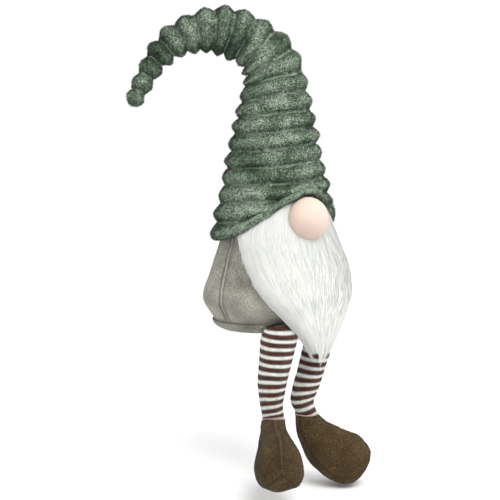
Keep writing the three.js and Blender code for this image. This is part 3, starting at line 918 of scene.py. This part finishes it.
def nose_ball(rows=120, columns=160):
    """Ball of jersey with gathers at its back. Rows run from the front to the back."""
    away = np.linspace(0.01, np.pi - 0.25, rows)[:, None]
    turn = around(columns)[None, :]
    back = smooth(away, 1.7, 2.9)
    gathers = back * (0.9 * np.cos(19 * turn + 1.3 * np.sin(2 * turn)) + 0.5 * np.cos(7 * turn))
    size = 1 + 0.01 * np.cos(2 * turn) * np.sin(away)
    x = (NOSE["half width"] * size * np.sin(away) + gathers) * np.cos(turn)
    z = (NOSE["half height"] * size * np.sin(away) + gathers) * np.sin(turn)
    y = np.minimum(-NOSE["half width"] * np.cos(away) + 0 * turn, NOSE["flat back"])
    # The last value paints shade over the gathered back of the ball, where it meets the body.
    part = grid_part(stack(x, y, z) + np.array(NOSE["centre"]), True, smooth(away, 1.9, 2.8))
    across, down = np.arange(columns + 1)[None, :], np.arange(rows)[:, None]
    part["uv"] = loop_map(NOSE_LOOP * across, NOSE_LOOP * down)
    return part


nose = make_object("nose_ball", nose_ball(), jersey)
place_piece(nose, "body", "nose_jersey", "nose_cover", "nose_wadding", "nose_thread", fill=0.95)

# %% [markdown]
# ## The beard
#
# Long-pile fur has a base that can't be seen and tens of thousands of fibres that cling together in
# locks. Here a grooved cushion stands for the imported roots, and thin tapering ribbons lie over it.
# Each ribbon lies at the surface of the pile and is drawn sideways to the middle of its lock. All of
# them follow lines from the brim to the point of the beard, as combed fur does. A hair system would
# give finer fibres, but it leaves no plain mesh that a joint can carry.

# %% The beard's form
BEARD = {
    "right": [
        (-40, 3), (-34, 5), (-12, 11), (17, 25), (54, 48),
        (84, 65), (119, 82), (150, 72), (166, 62),
    ],
    "left": [
        (-40, 4), (-34, 8), (-17, 16), (-1, 28), (20, 48),
        (50, 68), (85, 74), (119, 73), (150, 66), (166, 60),
    ],
    "depth": [(-40, 5), (-20, 9), (10, 15), (50, 20), (80, 19), (110, 14), (140, 15), (166, 24)],
    "root": 1.5,
    "tip": -38,
    "tip swing": 5,
    "top": 164,
}
wall_rows = spline(BODY["wall"], np.linspace(0, 1, 200))[:, ::-1]


def beard_ground(height):
    """Distance from the body's axis to the felt, or to the knees below the sack."""
    below = 98 - 8 * smooth(height, BEARD["tip"], 30)
    return np.where(height > 40, graph(wall_rows, height), below)


def beard_point(side, height, lift):
    """Point over the ground of the beard. Side runs from -1 at the gnome's right edge to 1."""
    right = soft_graph(BEARD["right"], height, 6)
    left = soft_graph(BEARD["left"], height, 6)
    reach = np.where(side < 0, right, left)
    swing = BEARD["tip swing"] * (1 - smooth(height, BEARD["tip"], 60))
    angle = -np.pi / 2 + np.radians(swing + side * reach)
    ground = beard_ground(height)
    x = (ground + lift) * np.cos(angle)
    y = (ground * body_oval(height) + lift) * np.sin(angle) - BODY["lean"] * height
    return stack(x, y, height)


def beard_lift(side, height):
    """Thickness of the fur, thinning to its edges and pressed down round the nose."""
    pressed = 0.45 * np.exp(-((side / 0.45) ** 2) - ((height - 138) / 28) ** 2)
    edge = 1 - np.abs(np.clip(side, -1, 1)) ** 5
    return soft_graph(BEARD["depth"], height, 8) * edge * (1 - pressed)


def beard_cushion():
    """Cushion of packed roots, grooved from top to bottom by its locks."""
    side = np.sin(np.linspace(-np.pi / 2, np.pi / 2, 150))[None, :]
    bottom = BEARD["tip"] + 36
    height = np.linspace(BEARD["top"], bottom, 130)[:, None]
    locks = stack(side * 60, height * 0.22)
    groove = 0.6 * ripple(locks, 9, 71) + 0.3 * ripple(locks, 4, 72)
    thin = 0.15 + 0.85 * smooth(height, bottom, bottom + 35)
    lift = 0.82 * thin * beard_lift(side, height) + groove * (1 - side**6) + BEARD["root"]
    front = beard_point(0.9 * side, height, lift)
    back = beard_point(0.9 * side, height, BEARD["root"] + 0 * lift)
    return join([grid_part(front, False, flip=True), grid_part(back, False)])


def strand_roots(count, random):
    """Sides and heights of the strands' roots, spread evenly and thinned towards the tip."""
    tries = 6 * count
    height = random.uniform(BEARD["tip"] + 12, BEARD["top"], tries)
    side = random.uniform(-1, 1, tries) * random.uniform(0.93, 1.02, tries)
    thinned = 0.3 + 0.7 * smooth(height, -30, 30)
    keep = random.random(tries) < thinned * (2 + soft_graph(BEARD["left"], height, 6)) / 76
    return side[keep][:count], height[keep][:count]


def lock_middles(side, height, random, locks=900):
    """Sides of the middles of each root's own lock and of the wide lock that it is part of."""
    lock_side = random.uniform(-1, 1, locks)
    lock_height = random.uniform(BEARD["tip"], 150, locks)
    gap = (side[:, None] - lock_side) ** 2 * 60**2 + ((height[:, None] - lock_height) * 0.3) ** 2
    nearest = lock_side[np.argmin(gap, axis=1)]
    return nearest, np.round(4 * nearest) / 4


def strand_spines(count, seed, steps=6):
    """Middle lines of strands, gathered in locks and combed down, and the way out of the fur."""
    random = np.random.default_rng(seed)
    side, height = strand_roots(count, random)
    count = len(height)
    nearest, wide_lock = lock_middles(side, height, random)
    low = 1 - smooth(height, 0, 50)
    nearest = nearest + (wide_lock - nearest) * low
    length = random.uniform(26, 52, count) * (0.62 + 0.38 * smooth(height, -20, 60))
    lock_end = BEARD["tip"] - 5 + 11 * (1 - np.cos(5 * wide_lock)) + 12 * random.random(count) ** 2
    end_height = np.maximum(height - length, lock_end)
    stray = random.random(count) < 0.05
    t = np.linspace(0, 1, steps)[None, :]
    heights = height[:, None] + (end_height - height)[:, None] * t
    pull = np.where(stray, -0.3, 0.5 + 0.35 * low)[:, None] * (nearest - side)[:, None] * t**1.5
    wave = 0.012 * np.sin(5 * t + random.uniform(0, 6.28, (count, 1)))
    spread = 0.03 + 0.06 * low[:, None]
    splay = spread * random.normal(size=(count, 1)) * t**2
    sides = side[:, None] + pull + wave + splay
    own_lift = random.uniform(0.9, 1.0, (count, 1))
    fly = np.where(stray, 1.5, 0.5)[:, None] * np.abs(random.normal(size=(count, 1))) * t**2
    lift = beard_lift(sides, heights) * (own_lift + 0.06 * np.sin(3.1 * t)) + BEARD["root"] + fly
    spine = beard_point(sides, heights, lift)
    out = unit(beard_point(sides, heights, lift + 4) - spine)
    return spine, out, smooth(np.abs(sides), 0.86, 1.04)


def strand_part(spine, out, edge, seed):
    """Tapering ribbons along the given middle lines."""
    random = np.random.default_rng(seed)
    count, steps = spine.shape[:2]
    t = np.linspace(0, 1, steps)[None, :]
    way = unit(np.gradient(spine, axis=1))
    across = unit(np.cross(way, out))
    spin = random.uniform(-0.35, 0.35, (count, 1, 1))
    flat = unit(across * np.cos(spin) + out * np.sin(spin))
    half = 0.5 * random.uniform(0.6, 1.2, (count, 1)) * (1 - 0.88 * t**1.6)
    points = np.stack([spine - flat * half[..., None], spine + flat * half[..., None]], 2)
    lean = 0.09 * random.normal(size=(count, 1, 1))
    shown = unit(out + lean * across + 0.1 * way)
    first = np.arange(count)[:, None] * 2 * steps + 2 * np.arange(steps - 1)[None, :]
    # tone paints each strand a little darker near its root, as shade deep in the fur
    tone = 0.07 * random.normal(size=(count, 1)) - 0.02 * (1 - t)
    return {
        "points": points.reshape(-1, 3),
        "normals": np.repeat(shown, 2, axis=1).reshape(-1, 3),
        "quads": (first[..., None] + np.array([0, 1, 3, 2])).reshape(-1, 4),
        "tris": np.zeros((0, 3), int),
        "tone": np.repeat(tone, 2, axis=1).reshape(-1),
        # crease paints the beard's side edges darker and cooler, as shade
        "crease": np.repeat(0.5 * edge, 2, axis=1).reshape(-1),
    }


# %% [markdown]
# The lower beard hangs over the thighs, so when a hip bends it would have to go up with the thigh.
# The strands are sorted into three pieces: those that end above the thighs ride on the body, and the
# others make one piece over each thigh, which is only fixed where it lies.

# %% Comb the beard
BEARD_CARRIED = 24
BEARD_BEND = [(0, 0, 0.030), (0, 0, -0.008)]
BETWEEN_LEGS = 4


def cushion_share(part, wanted):
    """The part's quads whose first corner is wanted."""
    return {**part, "quads": part["quads"][wanted[part["quads"][:, 0]]]}


spine, out, edge = strand_spines(17500, 75)
cushion = beard_cushion()
carried = spine[:, -1, 2] < BEARD_CARRIED
low_cushion = cushion["points"][:, 2] < BEARD_CARRIED + 4
on_right = spine[:, -1, 0] < BETWEEN_LEGS
right_cushion = cushion["points"][:, 0] < BETWEEN_LEGS
shares = {
    "beard_fur": ("body", ~carried, ~low_cushion),
    "beard_right_ends": ("right_thigh", carried & on_right, low_cushion & right_cushion),
    "beard_left_ends": ("left_thigh", carried & ~on_right, low_cushion & ~right_cushion),
}
for seed, (name, (holder, strands, roots)) in zip((76, 77, 78), shares.items()):
    hair = strand_part(spine[strands], out[strands], edge[strands], seed)
    print(f"{name}: {strands.sum()} strands")
    item = make_object(name, join([cushion_share(cushion, roots), hair]), fur)
    if holder == "body":
        place_piece(item, "body", "fur", "beard_pile")
    else:
        place_piece(item, ("body", holder), "fur", bend=BEARD_BEND)

# %% [markdown]
# ## Stockings
#
# A stocking is a tube of knitting over a soft filled leg. It is sewn flat into the seam of the sack, is
# round from the thigh down, and narrows towards the ankle. Each loop is modelled as a small swelling,
# which gives the outline the faint steps of knitting. A bump alone would leave that outline smooth.
#
# Each leg bends at the knee and at the ankle, so the tube is cut in two between them, at the edge of
# a stripe.

# %% The legs' form
LEG = {
    "top": 12,
    "hip": 13,
    "knee": -62,
    "ankle": -106,
    "cut": -86,
    "girth": [(-106, 13.2), (-95, 12.9), (-83, 13.8), (-62, 17.2), (-44, 18.9), (-27, 20.6), (12, 21)],
    "flat": 3,
    "knee reach": 10,
    "ankle reach": 12,
}
SIDES = {
    "right": {
        "line": [(-106, -38, -54), (-86, -40, -52), (-62, -39, -52), (4, -33.5, -60.5), (12, -33, -64)],
        "fullness": [(-106, 1), (-62, 0.98), (-27, 0.98), (-8, 1.06), (12, 1.1)],
        "toe": math.radians(236),
        "lift": math.radians(20),
    },
    "left": {
        "line": [(-106, 16, -54), (-90, 9.5, -50), (-62, 19, -52.5), (4, 36, -60.5), (12, 37, -64)],
        "fullness": [(-106, 0.95), (-83, 1.12), (-62, 0.96), (-30, 0.86), (12, 0.84)],
        "toe": math.radians(320),
        "lift": 0.0,
    },
}
COURSE = 1.7
WALES = 38
STRIPE_TWIST = math.radians(40)
KNIT_RELIEF = 0.35
POINTS_PER_LOOP = 4


def leg_centre(leg, height):
    """Middle of the leg at a height."""
    line = np.array(leg["line"], float)
    x = soft_graph(line[:, [0, 1]], height, 5)
    y = soft_graph(line[:, [0, 2]], height, 5)
    return stack(x, y, height)


def toe_way(leg):
    """The level direction in which a foot points."""
    return np.array([math.cos(leg["toe"]), math.sin(leg["toe"]), 0])


def stocking_part(leg, top, bottom, seed):
    """Knitted tube between two heights, with a map that counts wales round and courses down."""
    rows = round((top - bottom) / COURSE * POINTS_PER_LOOP)
    columns = WALES * POINTS_PER_LOOP
    height = np.linspace(top, bottom, rows)[:, None]
    turn = around(columns)[None, :]
    girth = soft_graph(leg["fullness"], height, 8) * soft_graph(LEG["girth"], height, 4)
    round_share = np.sqrt(smooth(LEG["hip"] - height, 0, 18))
    thick = LEG["flat"] + (girth - LEG["flat"]) * round_share
    spot = stack(17 * np.cos(turn), 17 * np.sin(turn), height)
    lumps = 1 + 0.018 * ripple(spot, 26, seed)
    offset = stack(girth * lumps * np.cos(turn), thick * lumps * np.sin(turn), 0 * turn)
    slope = (1 - smooth(height, LEG["ankle"], LEG["ankle"] + 16)) * math.tan(leg["lift"])
    offset[..., 2] = slope * (offset @ toe_way(leg))
    lean = -0.9 + 2.7 * smooth(-height, 40, 100)
    courses = (LEG["top"] - height) / COURSE + 0.35 * ripple(spot, 40, seed + 1)
    courses = courses + lean * np.cos(turn + STRIPE_TWIST)
    wales = turn / (2 * np.pi) * WALES
    off_middle = np.abs(np.mod(wales, 1) - 0.5)
    swell = np.sin(np.pi * np.mod(courses + LOOP_SLANT * off_middle, 1)) * np.sin(2 * np.pi * off_middle)
    points = raised(leg_centre(leg, height) + offset, True, KNIT_RELIEF * swell, flip=True)
    part = grid_part(points, True, flip=True)
    across = np.arange(columns + 1)[None, :] / POINTS_PER_LOOP
    part["uv"] = loop_map(across, np.hstack([courses, courses[:, :1]]), flip=True)
    return part


def stocking(side, leg, seed):
    """Upper half of a stocking, from its top to the cut, and lower half, from the cut to below the ankle.
    """
    knee, ankle = LEG["knee"], LEG["ankle"]
    knee_bend = [knee + LEG["knee reach"], knee - LEG["knee reach"]]
    ankle_bend = [ankle + LEG["ankle reach"], ankle - 1]
    foot_end = ankle - 3
    for label, top, bottom, bend, bodies, stretches in (
        ("upper", LEG["top"], LEG["cut"], knee_bend, ("thigh", "shin"), ("thigh", "knee", "shin")),
        ("lower", LEG["cut"], foot_end, ankle_bend, ("shin", "foot"), ("ankle",)),
    ):
        part = stocking_part(leg, top, bottom, seed)
        item = make_object(f"{side}_{label}_stocking", part, striped_knit)
        bodies = [f"{side}_{body}" for body in bodies]
        nodes = [f"{side}_{stretch}_stocking" for stretch in stretches]
        bend = (leg_centre(leg, np.array(bend, float)) * MM).tolist()
        place_piece(item, bodies, "striped_knit", *nodes, fill=0.8, bend=bend)


# %% [markdown]
# ## Boots
#
# A boot is two side panels of fleece joined up the front and over the toe, and a sole. Its sections
# turn from level at the opening to upright at the toe, so they are laid between two lines, the heel
# line and the instep line, and are widest nearer the heel line. Two lines and a row of widths are
# easier to correct than a sculpted block. The stuffing is firm, and the seams make shallow valleys
# with a few puckers.

# %% The boots' form
BOOT = {
    "heel": [(-14, 0), (-13, -16), (-9, -32), (-1, -52), (11, -68), (29, -81), (49, -86), (70, -76)],
    "instep": [(14, 0), (19, -5), (26, -11), (40, -17), (53, -22), (65, -28), (77, -42), (81, -56)],
    "half width": [14.3, 15.5, 18.5, 22.5, 26, 28.3, 25.5, 13],
    "widest": 0.38,
    "length": 120,
    "sole": math.radians(62),
    "toe rise": math.radians(20),
}


def boot_point(leg, t, turn, half, toe_round):
    """Points of a boot at the shares t of its length, turned round each section from its front."""
    heel = spline(BOOT["heel"], t[:, 0])[:, None]
    instep = spline(BOOT["instep"], t[:, 0])[:, None]
    middle = heel + (instep - heel) * BOOT["widest"]
    arm = np.where(np.cos(turn)[..., None] > 0, instep, heel) - middle
    flat = middle + arm * (np.abs(np.cos(turn)) * toe_round)[..., None]
    across = half * np.sin(turn) * toe_round
    forward = flat[..., 0] * math.cos(leg["lift"]) - flat[..., 1] * math.sin(leg["lift"])
    up = flat[..., 0] * math.sin(leg["lift"]) + flat[..., 1] * math.cos(leg["lift"])
    toe = toe_way(leg)
    aside = np.array([-toe[1], toe[0], 0])
    points = leg_centre(leg, np.array(float(LEG["ankle"]))) + forward[..., None] * toe
    return points + across[..., None] * aside + up[..., None] * UP


def boot_piece(leg, share, is_sole, seed):
    """Upper or sole of a boot, from its opening to its toe."""
    t = np.linspace(0, 1, 150)[:, None]
    sole_seam = np.pi - BOOT["sole"] + BOOT["toe rise"] * smooth(t, 0.55, 1)
    turn = np.pi + share * (np.pi - sole_seam) if is_sole else share * sole_seam
    turn = np.where(turn > np.pi, turn - 2 * np.pi, turn)
    half = spline([(width, 0) for width in BOOT["half width"]], t[:, 0])[:, None, 0]
    toe_round = np.sqrt(np.maximum(1 - (np.maximum(t - 0.9, 0) / 0.1) ** 2, 0.0009))
    points = boot_point(leg, t, turn, half, toe_round)
    from_front = np.abs(turn) * half
    from_sole = np.abs(np.abs(turn) - sole_seam) * half * 1.1
    along = t * BOOT["length"] + 0 * turn
    relief = seam_relief(from_front + 0 * turn, along, seed, pull=1.3, ridge=0.35, pucker=0.35)
    relief += seam_relief(from_sole, along, seed + 1, pull=1.3, ridge=0.5, pucker=0.35)
    relief += 0.5 * ripple(points, 30, seed + 2)
    relief *= toe_round * smooth(t, 0, 0.06)
    # crease paints shade in the seams' valleys; tone paints a highlight on the front seam's ridge
    crease = np.maximum(0.8 * seam_crease(from_front), bell(from_sole, 1.5))
    return grid_part(raised(points, False, relief), False, crease, 0.2 * bell(from_front, 1))


def boot(side, leg, seed):
    """Upper and sole of one boot."""
    upper_share = np.sin(np.linspace(-np.pi / 2, np.pi / 2, 131))[None, :]
    sole_share = np.linspace(-1, 1, 70)[None, :]
    for label, share, count, slot, panels in (
        ("upper", upper_share, 15000, "boot_fleece", ("inner_panel", "outer_panel")),
        ("sole", sole_share, 6000, "boot_sole_fleece", ("sole",)),
    ):
        part = boot_piece(leg, share, label == "sole", seed)
        part = add_nap(part, count, 1.3, 0.35, seed + 9, lean=1.3, tone=0.16)
        item = make_object(f"{side}_boot_{label}_fleece", part, fleece)
        nodes = [f"{side}_boot_{panel}" for panel in panels]
        place_piece(item, f"{side}_foot", slot, *nodes, fill=0.9)


# %% Threads
THREAD = {"ring": 13.9, "stitch": 0.3, "stitches": 22, "radius": 0.6, "ply": 0.12, "above ankle": 1.2}


def thread_ring(leg):
    """Two-ply thread sewn round the top of a boot, in and out of the fleece."""
    angle = around(260)[:, None]
    turn = around(8)[None, :]
    ring = THREAD["ring"] + THREAD["stitch"] * np.sin(THREAD["stitches"] * angle)
    tube = THREAD["radius"] + THREAD["ply"] * np.cos(2 * turn + 60 * angle)
    out = ring + tube * np.cos(turn)
    offset = stack(out * np.cos(angle), out * np.sin(angle), tube * np.sin(turn) + 0.2 * np.cos(9 * angle))
    offset[..., 2] += math.tan(leg["lift"]) * (offset @ toe_way(leg))
    middle = leg_centre(leg, np.array(LEG["ankle"] + THREAD["above ankle"]))
    return grid_part(middle + offset, True, flip=True)


thread, tree, shader = new_material("sewing thread", roughness=0.9, sheen=0.1)
place = attribute(tree, "rest", "Vector")
twist = node(tree, "ShaderNodeTexWave", Vector=place, Scale=260.0, Distortion=3.0).outputs["Fac"]
coloured(tree, shader, mix_colours(tree, twist, srgb(150, 122, 110), srgb(206, 188, 178)))

for seed, (side, leg) in zip((100, 200), SIDES.items()):
    stocking(side, leg, seed)
    boot(side, leg, seed + 20)
    ring = make_object(f"{side}_boot_thread", thread_ring(leg), thread)
    place_piece(ring, f"{side}_foot", "thread", f"{side}_ankle_thread")

# %% [markdown]
# ## What is inside
#
# The wadding, the wires, the bag of sand and the beard's backing can't be seen in a whole gnome. They
# keep the frame's own shapes and get finishes all the same, so that a gnome with a cover taken off is
# right too. The frame's covers, which the pieces above stand for, get a plain lining. The patterns lie
# in each mesh's own coordinates, since these meshes carry no values.

# %% Inner finishes
def inner_material(name, dark, light, scale, bump, metallic=0.0, roughness=1.0):
    """Finish for an inner part: noise in two shades, and a finer grain as relief."""
    material, tree, shader = new_material(name, roughness=roughness)
    shader.inputs["Metallic"].default_value = metallic
    place = node(tree, "ShaderNodeTexCoord").outputs["Object"]
    coloured(tree, shader, brushed(tree, place, (dark, light, light), Patches=scale, Streaks=5 * scale))
    grained(tree, shader, place, 6 * scale, bump)
    return material


inner = {
    "wadding": inner_material("wadding", (214, 214, 210), (244, 244, 240), 60.0, 0.002),
    "wire": inner_material(
        "drawn wire", (120, 120, 124), (170, 170, 174), 200.0, 0.0001, metallic=1.0, roughness=0.35
    ),
    "weight_bag": inner_material("calico", (196, 186, 164), (226, 218, 200), 150.0, 0.0003),
    "weight_sand": inner_material("dry sand", (150, 128, 92), (206, 186, 146), 900.0, 0.0006),
    "backing": inner_material("beard backing", (206, 206, 200), (236, 235, 230), 150.0, 0.0003),
    "thread": inner_material("nose thread", (196, 172, 160), (236, 222, 214), 900.0, 0.0002),
    "": inner_material("plain lining", (190, 188, 180), (226, 224, 216), 150.0, 0.0003),
}
for name, cad_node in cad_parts.items():
    finish = next(material for word, material in inner.items() if word in name)
    cad_node.data.materials.clear()
    cad_node.data.materials.append(finish)
print("inner parts still shown:", sum(not item.hide_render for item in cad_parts.values()))

# %% [markdown]
# ## Floor and light
#
# A wide pale floor lies under the boots and turns up smoothly behind, so that it has no horizon. One
# large soft light hangs above and in front, a weak one fills the shade on the gnome's right, a third
# brightens its left side, and the world gives the rest. Together they keep white fur white without
# losing its locks.

# %% Studio
FLOOR_DROP = 0.003
floor_height = min(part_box(f"{side}_boot_sole")[0][2] for side in SIDES) - FLOOR_DROP


def studio_floor():
    """Floor that curves up into a backdrop, facing the camera."""
    depth, bend, wall_height, width = 2.2, 0.8, 3.0, 6.0
    turn = np.linspace(0, np.pi / 2, 24)
    back = np.concatenate([[-3.0, 0.0], depth - bend + bend * np.sin(turn), [depth]])
    rise = np.concatenate([[0.0, 0.0], bend - bend * np.cos(turn), [wall_height]])
    facing = np.array([-math.sin(CAMERA_AZIMUTH), math.cos(CAMERA_AZIMUTH), 0])
    aside = np.array([facing[1], -facing[0], 0])
    edge = np.linspace(-width, width, 3)
    points = back[:, None, None] * facing + edge[None, :, None] * aside
    points[..., 2] = rise[:, None] + floor_height
    return grid_part(points / MM, False, flip=True)


paper, tree, shader = new_material("studio paper", roughness=0.9)
specks = noise(tree, node(tree, "ShaderNodeTexCoord").outputs["Object"], 40.0)
coloured(tree, shader, mix_colours(tree, specks, srgb(240, 240, 240), srgb(246, 246, 246)))
floor = make_object("studio_floor", studio_floor(), paper)


LIT_HEIGHT = 0.1


def soft_light(name, azimuth, elevation, distance, size, power):
    """Square area light that looks at the gnome's middle."""
    light = bpy.data.lights.new(name, "AREA")
    light.size = size
    light.energy = power
    item = bpy.data.objects.new(name, light)
    azimuth, elevation = math.radians(azimuth), math.radians(elevation)
    level = math.cos(elevation)
    way = Vector((math.sin(azimuth) * level, -math.cos(azimuth) * level, math.sin(elevation)))
    item.location = way * distance + Vector((0, 0, LIT_HEIGHT))
    item.rotation_euler = way.to_track_quat("Z", "Y").to_euler()
    scene.collection.objects.link(item)


soft_light("key", azimuth=-14, elevation=50, distance=1.8, size=1.2, power=32)
soft_light("fill", azimuth=-105, elevation=20, distance=2.0, size=1.6, power=3)
soft_light("rim", azimuth=70, elevation=35, distance=2.0, size=1.2, power=10)
world = bpy.data.worlds.new("studio")
world.use_nodes = True
background = world.node_tree.nodes["Background"]
background.inputs["Color"].default_value = (1, 1, 1, 1)
background.inputs["Strength"].default_value = 0.85
scene.world = world
scene.view_settings.view_transform = "Standard"
